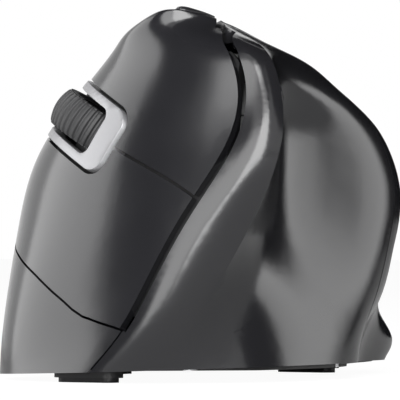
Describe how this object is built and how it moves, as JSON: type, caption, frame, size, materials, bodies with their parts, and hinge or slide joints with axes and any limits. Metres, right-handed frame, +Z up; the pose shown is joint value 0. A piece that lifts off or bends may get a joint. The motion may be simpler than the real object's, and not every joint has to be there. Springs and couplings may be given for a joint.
{
  "type": "vertical ergonomic computer mouse",
  "caption": "Upright right-hand mouse with a ridged crest, thumb scoop, two main buttons, a ribbed scroll wheel in a bright bezel and two thumb buttons.",
  "frame": {"origin": "middle of the footprint's box, on the desk surface", "axes": "+Z up; -Y to the nose, where the wheel and buttons are; +X to the thumb side"},
  "size_m": [0.0706, 0.1016, 0.0712],
  "materials": {
    "shell": "satin",
    "button": "satin",
    "bezel": "satin silver paint",
    "frame": "matt black",
    "tyre": "matt",
    "hub": "matt",
    "steel": "bright",
    "board": "solder mask",
    "switch": "matt",
    "chip": "matt",
    "base": "fine texture",
    "lens": "clear",
    "slider": "smooth",
    "cell": "plain wrap",
    "pad": "smooth"
  },
  "bodies": {
    "housing": {"thumb_shell": "shell", "palm_shell": "shell", "wheel_bezel": "bezel", "inner_chassis": "frame", "switch_board": "board", "index_switch": "switch", "middle_switch": "switch", "wheel_switch": "switch", "dpi_switch": "switch", "side_board": "board", "side_switches": "switch", "base_plate": "base", "main_board": "board", "sensor_lens": "lens", "sensor_chip": "chip", "power_switch": "switch", "battery": "cell", "battery_plate_contact": "steel", "battery_spring": "steel", "base_screws": "steel", "board_screws": "steel", "front_foot_pad": "pad", "rear_foot_pad": "pad", "side_foot_pad": "pad"},
    "index_button_body": {"index_button": "button"},
    "middle_button_body": {"middle_button": "button"},
    "wheel_carrier_body": {"wheel_carrier": "frame", "wheel_encoder": "switch"},
    "wheel_body": {"wheel_hub": "hub", "wheel_tyre": "tyre", "wheel_axle": "steel"},
    "dpi_button_body": {"dpi_button": "button"},
    "forward_button_body": {"forward_button": "button"},
    "back_button_body": {"back_button": "button"},
    "power_slider_body": {"power_slider": "slider"},
    "battery_door_body": {"battery_door": "base"},
    "receiver_body": {"usb_receiver": "base", "receiver_plug": "steel"}
  },
  "joints": [
    {"name": "index_press", "type": "hinge", "parent": "housing", "child": "index_button_body", "pos_m": [-0.01671, -0.01018, 0.05084], "axis": [0.786, -0.1643, 0.596], "range_deg": [0, 0.58], "stiffness_Nm_per_rad": 2, "springref_deg": -0.34},
    {"name": "middle_press", "type": "hinge", "parent": "housing", "child": "middle_button_body", "pos_m": [-0.02967, -0.00759, 0.0316], "axis": [0.5276, -0.1157, 0.8416], "range_deg": [0, 0.43], "stiffness_Nm_per_rad": 2.5, "springref_deg": -0.34},
    {"name": "wheel_click", "type": "slide", "parent": "housing", "child": "wheel_carrier_body", "axis": [0.5328, 0.6935, -0.4849], "range_m": [0, 0.0005], "stiffness_N_per_m": 1200, "springref_m": -0.0003},
    {"name": "wheel_spin", "type": "hinge", "parent": "wheel_carrier_body", "child": "wheel_body", "pos_m": [-0.00938, -0.02804, 0.04763], "axis": [0.5097, 0.1944, 0.8381], "continuous": true},
    {"name": "dpi_press", "type": "slide", "parent": "housing", "child": "dpi_button_body", "axis": [0.6378, -0.1754, -0.75], "range_m": [0, 0.00035], "stiffness_N_per_m": 1500, "springref_m": -0.0002},
    {"name": "forward_press", "type": "slide", "parent": "housing", "child": "forward_button_body", "axis": [-0.8493, -0.5273, 0.0262], "range_m": [0, 0.00035], "stiffness_N_per_m": 1500, "springref_m": -0.0002},
    {"name": "back_press", "type": "slide", "parent": "housing", "child": "back_button_body", "axis": [-0.8493, -0.5273, 0.0262], "range_m": [0, 0.00035], "stiffness_N_per_m": 1500, "springref_m": -0.0002},
    {"name": "power_slide", "type": "slide", "parent": "housing", "child": "power_slider_body", "axis": [0, 1, 0], "range_m": [0, 0.0025]},
    {"name": "battery_door_off", "type": "slide", "parent": "housing", "child": "battery_door_body", "axis": [0, 0, -1], "range_m": [0, 0.008]},
    {"name": "receiver_out", "type": "slide", "parent": "housing", "child": "receiver_body", "axis": [0, 0, -1], "range_m": [0, 0.009]}
  ]
}
